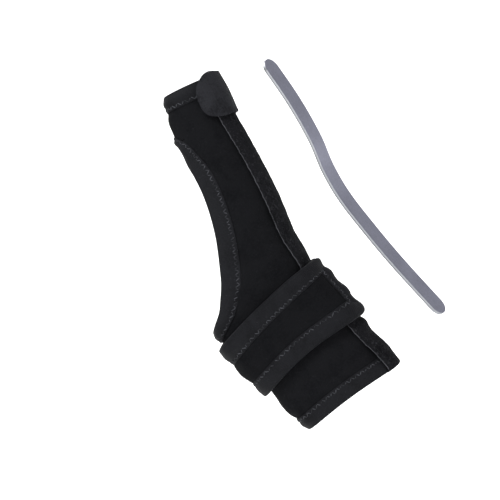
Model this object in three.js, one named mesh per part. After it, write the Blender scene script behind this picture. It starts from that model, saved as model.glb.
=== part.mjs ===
// A soft thumb spica splint for a right hand, strapped shut as it is worn.
// Millimetres. The origin is the middle of the wrist hollow, +Z runs up towards the hand, +X to the thumb's side and
// -Y to the palm's side. Angles are measured round the limb: 0 is the thumb's side, 90 the palm's side, 180 the little
// finger's side and 270 the back of the hand.
import * as THREE from 'three';

// Inside of the splint.
const wristWidth = 56.2;
const wristDepth = 40;
const thumbWidth = 22.2;
const thumbDepth = 21;
const cuffReach = 44.9;
const cuffArch = 2.2;
const thumbReach = 144.9;
const thumbSlant = 4;
const thumbAside = 30.9;
const thumbForward = 8;

// Cloth.
const panelWall = 3;
const tapeWall = 0.9;
const strapWall = 2.2;
const thumbStrapWall = 1.4;
const pocketWall = 1.2;
const pocketSpace = 0.3;
const clearance = 0.45;

// The opening that the hand goes out through.
const openingBottom = 26.2;
const openingLength = 93.8;

// Folded tape: how far it reaches over the cloth from each kind of edge. Round the hand opening it is pulled narrower
// at both ends.
const openingTapeWidth = 8.4;
const openingTapeNarrow = 6;
const thumbTapeWidth = 8;
const cuffTapeWidth = 8;
const strapTapeWidth = 9;

// The pocket strip on the thumb's side.
const pocketWidth = 24;
const pocketTopInset = 3;

// The wrist strap: its middle height, its full width, how its ring tilts, bows, flares and narrows round the wrist,
// and the angles of its free end and of its sewn end.
const strapMiddle = 5.9;
const strapWidth = 38;
const strapTilt = 3.7;
const strapBow = 1.6;
const strapFlare = 1.6;
const strapNarrowing = 0.8;
const strapFreeAngle = 9;
const strapSewnAngle = 338;
const strapCorner = 5.5;

// The thumb strap.
const thumbStrapBelowTop = 14.3;
const thumbStrapWidth = 23.6;
const thumbStrapTabWidth = 26.4;
const thumbStrapTilt = 0.5;
const thumbStrapTipAngle = 81;
const thumbStrapRootAngle = -120;

// The aluminium stay, shown taken out of its pocket.
const stayLength = 169;
const stayWidth = 12.4;
const stayThickness = 1.7;
const stayBend = 12.5;
const stayAside = 68.9;
const stayForward = 4;
const stayAbove = 47;
const stayTurn = 56;

// The limb that the splint is shaped on. height is a share of cuffReach below the wrist and of thumbReach above it,
// aside of thumbAside and forward of thumbForward. width and depth go from the wrist's, 0, to the thumb's, 1.
// square is how far the section goes from an ellipse to a rounded rectangle.
const limbSections = [
  { height: -1, aside: 0.165, forward: 0, width: 0.09, depth: 0.105, square: 0.03 },
  { height: -0.62, aside: 0.09, forward: 0, width: 0, depth: 0.05, square: 0.04 },
  { height: 0, aside: -0.015, forward: 0, width: 0.026, depth: 0, square: 0.05 },
  { height: 0.137, aside: -0.126, forward: 0, width: -0.035, depth: -0.08, square: 0.05 },
  { height: 0.226, aside: -0.09, forward: 0, width: -0.065, depth: -0.15, square: 0.045 },
  { height: 0.322, aside: 0.065, forward: 0.08, width: 0.147, depth: -0.19, square: 0.03 },
  { height: 0.477, aside: 0.356, forward: 0.3, width: 0.382, depth: 0.02, square: 0.01 },
  { height: 0.644, aside: 0.6, forward: 0.54, width: 0.612, depth: 0.39, square: 0 },
  { height: 0.745, aside: 0.725, forward: 0.68, width: 0.744, depth: 0.58, square: 0 },
  { height: 0.822, aside: 0.812, forward: 0.78, width: 0.836, depth: 0.695, square: 0 },
  { height: 0.911, aside: 0.89, forward: 0.9, width: 0.87, depth: 0.81, square: 0 },
  { height: 1, aside: 1, forward: 1, width: 1, depth: 1, square: 0 },
];

// Half of the hand opening, as an angle to each side of the little finger's side, along the opening from its bottom, 0,
// to its top at the thumb's web, 1. The steps are close at both ends, where the opening is round.
const openingShape = [
  { along: 0, half: 0 },
  { along: 0.1, half: 29 },
  { along: 0.17, half: 46.5 },
  { along: 0.24, half: 53 },
  { along: 0.32, half: 56.5 },
  { along: 0.47, half: 57 },
  { along: 0.6, half: 52 },
  { along: 0.7, half: 41.5 },
  { along: 0.77, half: 30 },
  { along: 0.85, half: 21 },
  { along: 1, half: 0 },
];

// The angle of the pocket's sewn front edge, at heights given as for the limb's sections.
const pocketSeam = [
  { height: -1, angle: 41 },
  { height: -0.3, angle: 44 },
  { height: 0.18, angle: 41 },
  { height: 0.37, angle: 46 },
  { height: 0.63, angle: 50 },
  { height: 0.83, angle: 58 },
  { height: 1, angle: 62 },
];

// Soft dents of the cloth. rise is a share of panelWall, outwards when it is positive, and long and wide are shares of
// the wrist's depth along the limb and round it.
const clothDents = [
  { height: 0.19, angle: 20, rise: -0.25, long: 0.16, wide: 0.5 },
  { height: 0.42, angle: 105, rise: 0.3, long: 0.6, wide: 0.5 },
  { height: -0.66, angle: 175, rise: 0.4, long: 0.2, wide: 0.7 },
  { height: -0.5, angle: 270, rise: -0.3, long: 0.3, wide: 0.9 },
  { height: 0.6, angle: 265, rise: -0.25, long: 0.35, wide: 0.5 },
  { height: 0.86, angle: 175, rise: 0.25, long: 0.22, wide: 0.8 },
];

// Where the wrist strap stands off what lies under it. rise is a share of strapWall, across of half the strap's width,
// and long and wide are shares of strapWidth.
const strapSwells = [
  { across: 0.3, angle: 14, rise: 0.15, long: 0.22, wide: 0.5 },
  { across: 0, angle: 180, rise: 1.2, long: 0.2, wide: 0.7 },
  { across: 0, angle: 90, rise: 0.3, long: 0.3, wide: 0.6 },
  { across: 0, angle: 265, rise: 0.3, long: 0.3, wide: 0.6 },
];

// The stay's bends, seen from its edge. along runs down the bar from its top, and out is a share of stayBend.
const stayBends = [
  { along: 0, out: 0.5 },
  { along: 0.16, out: 0.44 },
  { along: 0.3, out: 0.2 },
  { along: 0.4, out: -0.15 },
  { along: 0.5, out: -0.31 },
  { along: 0.62, out: -0.26 },
  { along: 0.78, out: -0.08 },
  { along: 1, out: 0.32 },
];

// Numbers of faces.
const panelColumns = 28;
const openingRows = 18;
const cuffRows = 9;
const sleeveRows = 4;
const strapColumns = 42;
const strapRows = 5;
const thumbStrapColumns = 26;
const thumbStrapRows = 5;
const pocketRows = 22;
const pocketColumns = 6;
const stayRows = 30;
const cornerSteps = 4;

const radians = THREE.MathUtils.degToRad;
const smooth = THREE.MathUtils.smoothstep;
const mix = THREE.MathUtils.lerp;

// The value of one column of a table at a place between its rows, on a curve that passes through every row.
function tableValue(rows, place, column, at) {
  let i = 0;
  while (i < rows.length - 2 && at > rows[i + 1][place]) i += 1;
  const slope = (k) => {
    const before = rows[Math.max(k - 1, 0)];
    const after = rows[Math.min(k + 1, rows.length - 1)];
    return (after[column] - before[column]) / (after[place] - before[place]);
  };
  const span = rows[i + 1][place] - rows[i][place];
  const u = (at - rows[i][place]) / span;
  const start = rows[i][column];
  const end = rows[i + 1][column];
  const pull = slope(i) * span;
  const push = slope(i + 1) * span;
  return start + u * pull + u * u * (3 * (end - start) - 2 * pull - push)
    + u * u * u * (pull + push - 2 * (end - start));
}

// A height above the wrist as the share that the tables use.
function heightShare(z) {
  return z < 0 ? z / cuffReach : z / thumbReach;
}

// The height of a share that the tables use.
function shareHeight(share) {
  return share < 0 ? share * cuffReach : share * thumbReach;
}

// The limb's section at a height: its middle, its half width and depth, and its squareness.
function limbAt(z) {
  const at = heightShare(z);
  const value = (column) => tableValue(limbSections, 'height', column, at);
  return {
    x: thumbAside * value('aside'),
    y: -thumbForward * value('forward'),
    halfWidth: mix(wristWidth, thumbWidth, value('width')) / 2,
    halfDepth: mix(wristDepth, thumbDepth, value('depth')) / 2,
    square: value('square'),
  };
}

// A point on the limb at a height and an angle.
function limbPoint(z, angle) {
  const limb = limbAt(z);
  const a = radians(angle);
  const across = (Math.cos(a) - limb.square * Math.cos(3 * a)) / (1 - limb.square);
  const front = (Math.sin(a) + limb.square * Math.sin(3 * a)) / (1 - limb.square);
  return new THREE.Vector3(limb.x + limb.halfWidth * across, limb.y - limb.halfDepth * front, z);
}

// How the limb's surface runs at a place: its change for each millimetre up and each degree round, and its normal.
function limbSlopes(z, angle) {
  const step = 0.05;
  const up = limbPoint(z + step, angle).sub(limbPoint(z - step, angle)).divideScalar(2 * step);
  const round = limbPoint(z, angle + step).sub(limbPoint(z, angle - step)).divideScalar(2 * step);
  const normal = new THREE.Vector3().crossVectors(up, round).normalize();
  return { up, round, normal };
}

// The heights of the panel's two ends, which are cut a little aslant.
function cuffEnd(angle) {
  return -cuffReach + cuffArch * Math.sin(radians(angle)) ** 2;
}

function thumbEnd(angle) {
  return thumbReach - thumbSlant * (1 + Math.cos(radians(angle))) / 2;
}

// How far apart two angles are, in degrees, the short way round.
function angleGap(a, b) {
  return Math.abs(((a - b + 540) % 360 + 360) % 360 - 180);
}

// How far the cloth's dents lift it at a place.
function dentLift(z, angle) {
  let lift = 0;
  for (const dent of clothDents) {
    const along = (z - shareHeight(dent.height)) / (dent.long * wristDepth);
    const round = radians(angleGap(angle, dent.angle)) / dent.wide;
    lift += dent.rise * panelWall * Math.exp(-along * along - round * round);
  }
  return lift;
}

// A point that lies so far outwards from the limb, with the cloth's dents.
function clothPoint(z, angle, lift) {
  const { normal } = limbSlopes(z, angle);
  return limbPoint(z, angle).addScaledVector(normal, lift + dentLift(z, angle));
}

// The angle that lies so many millimetres further round the section at a height.
function angleAlong(z, angle, distance) {
  const steps = 12;
  let at = angle;
  for (let i = 0; i < steps; i += 1) at += distance / steps / limbSlopes(z, at).round.length();
  return at;
}

// Half of the hand opening at a place along it, in degrees.
function openingHalf(along) {
  return tableValue(openingShape, 'along', 'half', along);
}

// The height of a place along the opening.
function openingHeight(along) {
  return openingBottom + openingLength * (1 - Math.cos(Math.PI * along)) / 2;
}

// The places of the panel's rows along the opening, closer together at its round ends.
function openingPlaces() {
  const closeness = 0.45;
  const places = [];
  for (let i = 0; i <= openingRows; i += 1) {
    const even = 2 * Math.PI * i / openingRows;
    places.push((even - closeness * Math.sin(even)) / (2 * Math.PI));
  }
  return places;
}

// The front edge of the stay pocket, and its back edge.
function pocketFront(z) {
  return tableValue(pocketSeam, 'height', 'angle', heightShare(z));
}

function pocketBack(z) {
  return angleAlong(z, pocketFront(z), -pocketWidth);
}

// Lifts from the limb. Over a tape the cloth above it rises by the tape and one clearance.
const tapeRise = tapeWall + clearance;
const rampLength = 5;

// The lift of what lies straight on the panel and on the tapes of its two ends.
function onPanel(z, angle) {
  const cuffTapeTop = cuffEnd(angle) + cuffTapeWidth;
  const thumbTapeBottom = thumbEnd(angle) - thumbTapeWidth;
  const overCuffTape = 1 - smooth(z, cuffTapeTop + 0.5, cuffTapeTop + rampLength);
  const overThumbTape = smooth(z, thumbTapeBottom - rampLength, thumbTapeBottom - 0.5);
  return panelWall + clearance + tapeRise * (overCuffTape + overThumbTape);
}

// How far the pocket strip fills an angle at a height: 1 over the strip, 0 clear of it.
function overPocket(z, angle) {
  const front = pocketFront(z);
  const back = pocketBack(z);
  const turned = angle > 200 ? angle - 360 : angle;
  const ramp = 22;
  return (1 - smooth(turned, front + 2, front + ramp)) * smooth(turned, back - ramp, back - 2);
}

// How far the pocket's outside stands above its seat, across the strip from 0 at its front edge to 1.
function pocketSwell(across) {
  return pocketSpace * Math.sin(Math.PI * across) ** 2;
}

// The lift of what lies on the panel and over the pocket strip.
function onPocket(z, angle) {
  return onPanel(z, angle) + overPocket(z, angle) * (pocketSpace + pocketWall + clearance);
}

// A closed solid between an inner and an outer grid of points. Where closedRow says so, a row's last column is its
// first one.
function sheetSolid(rows, columns, innerPoint, outerPoint, closedRow = () => false) {
  const positions = [];
  const grid = (pointAt) => {
    const made = [];
    for (let i = 0; i <= rows; i += 1) {
      const line = [];
      for (let j = 0; j <= columns; j += 1) {
        if (j === columns && closedRow(i)) {
          line.push(line[0]);
        } else {
          line.push(positions.length / 3);
          positions.push(...pointAt(i, j).toArray());
        }
      }
      made.push(line);
    }
    return made;
  };
  const outer = grid(outerPoint);
  const inner = grid(innerPoint);
  const faces = [];
  const quad = (...corners) => addQuad(faces, positions, corners);
  for (let i = 0; i < rows; i += 1) {
    for (let j = 0; j < columns; j += 1) {
      quad(outer[i][j], outer[i + 1][j], outer[i + 1][j + 1], outer[i][j + 1]);
      quad(inner[i][j], inner[i][j + 1], inner[i + 1][j + 1], inner[i + 1][j]);
    }
    if (!(closedRow(i) && closedRow(i + 1))) {
      quad(inner[i][0], inner[i + 1][0], outer[i + 1][0], outer[i][0]);
      quad(outer[i][columns], outer[i + 1][columns], inner[i + 1][columns], inner[i][columns]);
    }
  }
  for (let j = 0; j < columns; j += 1) {
    quad(outer[0][j], outer[0][j + 1], inner[0][j + 1], inner[0][j]);
    quad(outer[rows][j + 1], outer[rows][j], inner[rows][j], inner[rows][j + 1]);
  }
  return solidGeometry(positions, faces);
}

// Two faces between four corners, split along the shorter diagonal.
function addQuad(faces, positions, [a, b, c, d]) {
  const point = (k) => new THREE.Vector3().fromArray(positions, 3 * k);
  if (point(a).distanceTo(point(c)) < point(b).distanceTo(point(d))) {
    faces.push(a, b, c, a, c, d);
  } else {
    faces.push(a, b, d, b, c, d);
  }
}

function solidGeometry(positions, faces) {
  const geometry = new THREE.BufferGeometry();
  geometry.setAttribute('position', new THREE.Float32BufferAttribute(positions, 3));
  geometry.setIndex(faces);
  geometry.computeVertexNormals();
  return geometry;
}

// The section of a tape folded over a cloth edge: into is how far it reaches over the cloth, out how far from the
// cloth's middle. Where the cloth bends across the tape, the section has points at half its width too.
function tapeSection(wall, width, bent) {
  const slot = wall / 2 + clearance;
  const back = slot + tapeWall;
  const crown = clearance + tapeWall;
  const half = width / 2;
  const section = [
    { into: width, out: back },
    { into: half, out: back },
    { into: 0, out: back },
    { into: -crown, out: back * 0.45 },
    { into: -crown, out: -back * 0.45 },
    { into: 0, out: -back },
    { into: half, out: -back },
    { into: width, out: -back },
    { into: width, out: -slot },
    { into: half, out: -slot },
    { into: -clearance, out: -slot },
    { into: -clearance, out: slot },
    { into: half, out: slot },
    { into: width, out: slot },
  ];
  return section.filter((corner) => bent || corner.into !== half);
}

// A tape folded over the edge of a cloth along a path of places on the limb. The cloth lies on that path's left when
// it is seen from outside, and lift gives how far the cloth's inner face is from the limb.
function foldedTape(path, closed, wall, width, bent, lift) {
  const section = tapeSection(wall, width, bent);
  const count = path.length;
  const positions = [];
  path.forEach((place, i) => {
    const before = path[closed ? (i + count - 1) % count : Math.max(i - 1, 0)];
    const after = path[closed ? (i + 1) % count : Math.min(i + 1, count - 1)];
    const along = limbPoint(after.z, after.angle).sub(limbPoint(before.z, before.angle)).normalize();
    const { up, round, normal } = limbSlopes(place.z, place.angle);
    const inward = new THREE.Vector3().crossVectors(normal, along).normalize();
    const upUp = up.dot(up);
    const upRound = up.dot(round);
    const roundRound = round.dot(round);
    const scale = upUp * roundRound - upRound * upRound;
    const perUp = (inward.dot(up) * roundRound - inward.dot(round) * upRound) / scale;
    const perRound = (inward.dot(round) * upUp - inward.dot(up) * upRound) / scale;
    for (const corner of section) {
      const into = corner.into > 0 ? corner.into * (place.reach ?? 1) : corner.into;
      const z = place.z + into * perUp;
      const angle = place.angle + into * perRound;
      const height = lift(z, angle) + wall / 2 + corner.out;
      positions.push(...clothPoint(z, angle, height).toArray());
    }
  });
  const sides = section.length;
  const faces = [];
  const steps = closed ? count : count - 1;
  for (let i = 0; i < steps; i += 1) {
    const here = i * sides;
    const next = ((i + 1) % count) * sides;
    for (let k = 0; k < sides; k += 1) {
      const turn = (k + 1) % sides;
      addQuad(faces, positions, [here + k, here + turn, next + turn, next + k]);
    }
  }
  if (!closed) {
    const flat = section.map((corner) => new THREE.Vector2(corner.into, corner.out));
    const last = (count - 1) * sides;
    for (const [a, b, c] of THREE.ShapeUtils.triangulateShape(flat, [])) {
      faces.push(a, c, b);
      faces.push(last + a, last + b, last + c);
    }
  }
  return solidGeometry(positions, faces);
}

// The panel's rows: the height of each at an angle, and how far the panel is open there.
function panelRowPlaces() {
  const places = [];
  for (let i = 0; i < cuffRows; i += 1) {
    places.push({ height: (angle) => mix(cuffEnd(angle), openingBottom, i / cuffRows), half: 0 });
  }
  for (const along of openingPlaces()) {
    places.push({ height: () => openingHeight(along), half: openingHalf(along) });
  }
  const web = openingHeight(1);
  for (let i = 1; i <= sleeveRows; i += 1) {
    places.push({ height: (angle) => mix(web, thumbEnd(angle), i / sleeveRows), half: 0 });
  }
  return places;
}

function panelGeometry() {
  const places = panelRowPlaces();
  const pointAt = (lift) => (i, j) => {
    const { height, half } = places[i];
    const angle = mix(-180 + half, 180 - half, j / panelColumns);
    return clothPoint(height(angle), angle, lift);
  };
  return sheetSolid(places.length - 1, panelColumns, pointAt(0), pointAt(panelWall), (i) => places[i].half === 0);
}

// The share of its full width that the hand opening's tape has at a place along the opening.
function openingReach(along) {
  const full = smooth(along, 0.14, 0.36) * (1 - smooth(along, 0.72, 0.95));
  return mix(openingTapeNarrow / openingTapeWidth, 1, full);
}

function openingBindingGeometry() {
  const edge = (places, side) => places.map((along) => (
    { z: openingHeight(along), angle: 180 + side * openingHalf(along), reach: openingReach(along) }
  ));
  const up = edge(openingPlaces(), 1);
  const down = edge(openingPlaces().slice(1, -1).reverse(), -1);
  return foldedTape([...up, ...down], true, panelWall, openingTapeWidth, true, () => 0);
}

// A tape round one end of the panel. way is 1 where the cloth lies below the edge and -1 where it lies above.
function endBindingGeometry(height, way, width) {
  const path = [];
  for (let i = 0; i < panelColumns; i += 1) {
    const angle = 180 + way * 360 * i / panelColumns;
    path.push({ z: height(angle), angle });
  }
  return foldedTape(path, true, panelWall, width, false, () => 0);
}

// The heights of the pocket's rows: even along the limb, and at the steps over the tapes of both ends.
function pocketHeights(angle) {
  const low = cuffEnd(angle) + cuffTapeWidth;
  const high = thumbEnd(angle) - thumbTapeWidth;
  const heights = [cuffEnd(angle), low + 0.5];
  for (let i = 0; i <= pocketRows; i += 1) heights.push(mix(low + rampLength, high - rampLength, i / pocketRows));
  return [...heights, high - 0.5, thumbEnd(angle) - pocketTopInset];
}

function pocketGeometry() {
  const rows = pocketHeights(0);
  const pointAt = (wall) => (i, j) => {
    const across = 1 - j / pocketColumns;
    const nearAngle = angleAlong(rows[i], pocketFront(rows[i]), -pocketWidth * across);
    const z = pocketHeights(nearAngle)[i];
    const angle = angleAlong(z, pocketFront(z), -pocketWidth * across);
    return clothPoint(z, angle, onPanel(z, angle) + pocketSwell(across) + wall);
  };
  return sheetSolid(rows.length - 1, pocketColumns, pointAt(0), pointAt(pocketWall));
}

// The middle and the half width of the wrist strap's ring at an angle, with its bindings.
function strapRing(angle) {
  const once = Math.cos(radians(angle));
  const twice = Math.cos(radians(2 * angle));
  return {
    middle: strapMiddle + strapTilt * once - strapBow * twice,
    half: strapWidth / 2 + strapFlare * once + strapNarrowing * twice,
  };
}

// The lift of the wrist strap's cloth, which lies on its own binding.
function strapLift(z, angle) {
  const { middle, half } = strapRing(angle);
  let swell = 0;
  for (const rise of strapSwells) {
    const along = (z - middle - rise.across * half) / (rise.long * strapWidth);
    const round = radians(angleGap(angle, rise.angle)) / rise.wide;
    swell += rise.rise * strapWall * Math.exp(-along * along - round * round);
  }
  return onPocket(z, angle) + tapeRise + swell;
}

// Half of the strap cloth's width at a distance from its round-cornered free end, without its binding.
function strapHalf(angle, fromEnd) {
  const half = strapRing(angle).half - tapeRise;
  const short = Math.max(strapCorner - fromEnd, 0);
  return half - strapCorner + Math.sqrt(strapCorner ** 2 - short ** 2);
}

// The strap's columns, close together round the corners of its free end: each one's angle and half width.
function strapPlaces() {
  const perDegree = limbSlopes(strapMiddle, strapFreeAngle).round.length();
  const places = [];
  for (let i = 0; i <= cornerSteps; i += 1) {
    const fromEnd = strapCorner * (1 - Math.cos(Math.PI / 2 * i / cornerSteps));
    const angle = strapFreeAngle + fromEnd / perDegree;
    places.push({ angle, half: strapHalf(angle, fromEnd) });
  }
  const cornerAngle = places[cornerSteps].angle;
  for (let i = 1; i <= strapColumns; i += 1) {
    const angle = mix(cornerAngle, strapSewnAngle, i / strapColumns);
    places.push({ angle, half: strapHalf(angle, strapCorner) });
  }
  return places;
}

// A place on the strap's cloth: across goes from -1 at its lower edge to 1 at its upper edge.
function strapPoint({ angle, half }, across) {
  return { z: strapRing(angle).middle + across * half, angle };
}

function wristStrapGeometry() {
  const places = strapPlaces();
  const pointAt = (wall) => (i, j) => {
    const { z, angle } = strapPoint(places[j], mix(-1, 1, i / strapRows));
    return clothPoint(z, angle, strapLift(z, angle) + wall);
  };
  return sheetSolid(strapRows, places.length - 1, pointAt(0), pointAt(strapWall));
}

// The strap's binding: along its lower edge to the free end, up that end and back along the upper edge.
function wristStrapBindingGeometry() {
  const places = strapPlaces();
  const lower = places.map((place) => strapPoint(place, -1)).reverse();
  const upper = places.map((place) => strapPoint(place, 1));
  const end = [];
  for (let i = 1; i < strapRows; i += 1) end.push(strapPoint(places[0], mix(-1, 1, i / strapRows)));
  return foldedTape([...lower, ...end, ...upper], false, strapWall, strapTapeWidth, true, strapLift);
}

// How high a place on the thumb strap is above its middle, for side from -1 at its lower edge to 1 at its upper edge.
// The strap's upper half widens to the tab on the palm's side, and the tab's tip is a little squarer than a circle.
function thumbStrapRise(fromTip, angle, side) {
  const lower = thumbStrapWidth / 2;
  const upper = mix(lower, thumbStrapTabWidth - lower, smooth(angle, 15, 60));
  const short = Math.max(1 - fromTip / lower, 0);
  const power = 2.3;
  return side * (side > 0 ? upper : lower) * (1 - short ** power) ** (1 / power);
}

// The thumb strap lies on the thumb binding and comes down to the panel at its lower edge.
function thumbStrapLift(z, angle) {
  const down = (thumbEnd(angle) - thumbTapeWidth - 0.5 - z) / (0.75 * thumbStrapWidth);
  const onTape = 1 - 0.8 * THREE.MathUtils.clamp(down, 0, 1);
  return panelWall + clearance + tapeRise * onTape + overPocket(z, angle) * (pocketSpace + pocketWall + clearance);
}

function thumbStrapGeometry() {
  const level = thumbReach - thumbStrapBelowTop;
  const half = thumbStrapWidth / 2;
  const tipPlaces = 7;
  const blunt = 0.04 * half;
  const fromTips = [];
  for (let i = 0; i <= tipPlaces; i += 1) {
    fromTips.push(Math.max(half * (1 - Math.cos(Math.PI / 2 * i / tipPlaces)), blunt));
  }
  const angles = fromTips.map((fromTip) => angleAlong(level, thumbStrapTipAngle, -fromTip));
  const straight = thumbStrapColumns - tipPlaces;
  const roundEnd = angles[tipPlaces];
  for (let i = 1; i <= straight; i += 1) {
    angles.push(mix(roundEnd, thumbStrapRootAngle, i / straight));
    fromTips.push(half);
  }
  const pointAt = (wall) => (i, j) => {
    const column = thumbStrapColumns - j;
    const angle = angles[column];
    const middle = level + thumbStrapTilt * Math.sin(radians(angle));
    const z = middle + thumbStrapRise(fromTips[column], angle, mix(-1, 1, i / thumbStrapRows));
    return clothPoint(z, angle, thumbStrapLift(z, angle) + wall);
  };
  return sheetSolid(thumbStrapRows, thumbStrapColumns, pointAt(0), pointAt(thumbStrapWall));
}

// The stay, standing on its own axis: its face looks along -Y and its bends go to and fro along Y.
function stayGeometry() {
  const round = stayWidth / 2;
  const endSteps = 6;
  const blunt = 0.05 * round;
  const downs = [];
  for (let i = 0; i <= endSteps; i += 1) {
    downs.push(Math.max(round * (1 - Math.cos(Math.PI / 2 * i / endSteps)), blunt));
  }
  const straight = stayRows - 2 * endSteps;
  for (let i = 1; i < straight; i += 1) downs.push(mix(round, stayLength - round, i / straight));
  for (let i = endSteps; i >= 0; i -= 1) downs.push(stayLength - downs[i]);
  const centre = (down) => new THREE.Vector3(
    0,
    -stayBend * tableValue(stayBends, 'along', 'out', down / stayLength),
    stayLength / 2 - down,
  );
  const pointAt = (side) => (i, j) => {
    const down = downs[downs.length - 1 - i];
    const fromEnd = Math.min(down, stayLength - down);
    const short = Math.max(round - fromEnd, 0);
    const half = Math.sqrt(round ** 2 - short ** 2);
    const along = centre(down - 0.5).sub(centre(down + 0.5)).normalize();
    const face = new THREE.Vector3(0, -along.z, along.y);
    return centre(down).addScaledVector(face, side * stayThickness / 2).setX(mix(half, -half, j));
  };
  return sheetSolid(downs.length - 1, 1, pointAt(-1), pointAt(1));
}

function cloth(color, roughness) {
  return new THREE.MeshStandardMaterial({ color, roughness, metalness: 0 });
}

const brushedCloth = cloth(0x17171a, 0.95);
const bindingTape = cloth(0x232427, 0.85);
const pocketCloth = cloth(0x1a1a1d, 0.9);
const tabCloth = cloth(0x2b2b30, 0.8);
const aluminium = new THREE.MeshStandardMaterial({ color: 0x8d8f99, roughness: 0.45, metalness: 1 });

const splint = new THREE.Group();

function addPiece(parent, name, geometry, material) {
  const mesh = new THREE.Mesh(geometry, material);
  mesh.name = name;
  parent.add(mesh);
}

addPiece(splint, 'panel', panelGeometry(), brushedCloth);
addPiece(splint, 'hand_opening_binding', openingBindingGeometry(), bindingTape);
addPiece(splint, 'thumb_binding', endBindingGeometry(thumbEnd, 1, thumbTapeWidth), bindingTape);
addPiece(splint, 'cuff_binding', endBindingGeometry(cuffEnd, -1, cuffTapeWidth), bindingTape);
addPiece(splint, 'stay_pocket', pocketGeometry(), pocketCloth);
addPiece(splint, 'wrist_strap', wristStrapGeometry(), brushedCloth);
addPiece(splint, 'wrist_strap_binding', wristStrapBindingGeometry(), bindingTape);
addPiece(splint, 'thumb_strap', thumbStrapGeometry(), tabCloth);

// The stay lies beside the splint on the thumb's side, turned so that its face looks forwards and aside.
const stayPlace = new THREE.Group();
stayPlace.position.set(stayAside, -stayForward, stayAbove);
stayPlace.rotation.z = radians(stayTurn);
addPiece(stayPlace, 'stay', stayGeometry(), aluminium);
splint.add(stayPlace);

export default splint;
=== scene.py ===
import math

import bpy
import numpy as np
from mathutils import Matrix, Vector, noise


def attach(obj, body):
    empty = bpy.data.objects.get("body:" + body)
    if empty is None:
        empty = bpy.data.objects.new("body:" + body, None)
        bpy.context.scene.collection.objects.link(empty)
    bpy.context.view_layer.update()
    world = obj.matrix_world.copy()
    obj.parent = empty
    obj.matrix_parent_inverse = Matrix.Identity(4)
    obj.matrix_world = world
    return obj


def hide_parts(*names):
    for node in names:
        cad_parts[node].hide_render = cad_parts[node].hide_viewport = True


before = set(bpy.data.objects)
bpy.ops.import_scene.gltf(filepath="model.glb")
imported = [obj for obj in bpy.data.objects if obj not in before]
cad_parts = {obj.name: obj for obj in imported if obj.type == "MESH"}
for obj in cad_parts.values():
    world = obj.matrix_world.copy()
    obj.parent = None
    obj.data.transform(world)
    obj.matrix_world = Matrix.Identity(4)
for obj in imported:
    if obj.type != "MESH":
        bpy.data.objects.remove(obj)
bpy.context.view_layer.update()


# Panel: the soft body of the splint, a laminate of brushed loop cloth, thin foam and a smooth lining, cut in
# one piece and sewn into a cuff round the wrist that runs up into a sleeve round the thumb. The long opening
# on the little finger's side is where the hand goes out. Lengths are in millimetres until a mesh is made.
wrist_width, wrist_depth = 56.2, 40.0
thumb_width, thumb_depth = 22.2, 21.0
cuff_reach, cuff_arch = 44.9, 2.2
thumb_reach, thumb_slant = 144.9, 4.0
thumb_aside, thumb_forward = 30.9, 8.0
panel_wall = 3.0
clearance = 0.45
opening_bottom, opening_length = 26.2, 93.8
strap_under, pocket_middle, edge_radius = (-16.0, 27.0), 20.0, 22.0
panel_columns, rows_below, rows_beside, rows_above = 150, 62, 110, 24

# height, aside, forward, width, depth, square
limb_rows = np.array([
    (-1, 0.165, 0, 0.09, 0.105, 0.03),
    (-0.62, 0.09, 0, 0, 0.05, 0.04),
    (0, -0.015, 0, 0.026, 0, 0.05),
    (0.137, -0.126, 0, -0.035, -0.08, 0.05),
    (0.226, -0.09, 0, -0.065, -0.15, 0.045),
    (0.322, 0.065, 0.08, 0.147, -0.19, 0.03),
    (0.477, 0.356, 0.3, 0.382, 0.02, 0.01),
    (0.644, 0.6, 0.54, 0.612, 0.39, 0),
    (0.745, 0.725, 0.68, 0.744, 0.58, 0),
    (0.822, 0.812, 0.78, 0.836, 0.695, 0),
    (0.911, 0.89, 0.9, 0.87, 0.81, 0),
    (1, 1, 1, 1, 1, 0),
])
# place along the opening, half angle of the opening
opening_rows = np.array([
    (0, 0), (0.1, 29), (0.17, 46.5), (0.24, 53), (0.32, 56.5), (0.47, 57),
    (0.6, 52), (0.7, 41.5), (0.77, 30), (0.85, 21), (1, 0),
])
# height, angle, rise, long, wide
cloth_dents = [
    (0.19, 20, -0.25, 0.16, 0.5),
    (0.42, 105, 0.3, 0.6, 0.5),
    (-0.66, 175, 0.4, 0.2, 0.7),
    (-0.5, 270, -0.3, 0.3, 0.9),
    (0.6, 265, -0.25, 0.35, 0.5),
    (0.86, 175, 0.25, 0.22, 0.8),
]


def mix(start, end, share):
    return start + (end - start) * share


def smooth(value, low, high):
    share = np.clip((value - low) / (high - low), 0, 1)
    return share * share * (3 - 2 * share)


def table_value(rows, column, at):
    places, values = rows[:, 0], rows[:, column]
    last = len(places) - 1
    i = np.clip(np.searchsorted(places, at, side="right") - 1, 0, last - 1)

    def slope(k):
        before, after = np.maximum(k - 1, 0), np.minimum(k + 1, last)
        return (values[after] - values[before]) / (places[after] - places[before])

    span = places[i + 1] - places[i]
    u = (at - places[i]) / span
    start, end = values[i], values[i + 1]
    pull, push = slope(i) * span, slope(i + 1) * span
    return (start + u * pull + u * u * (3 * (end - start) - 2 * pull - push)
            + u * u * u * (pull + push - 2 * (end - start)))


def height_share(z):
    return np.where(z < 0, z / cuff_reach, z / thumb_reach)


def share_height(share):
    return share * (cuff_reach if share < 0 else thumb_reach)


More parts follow.
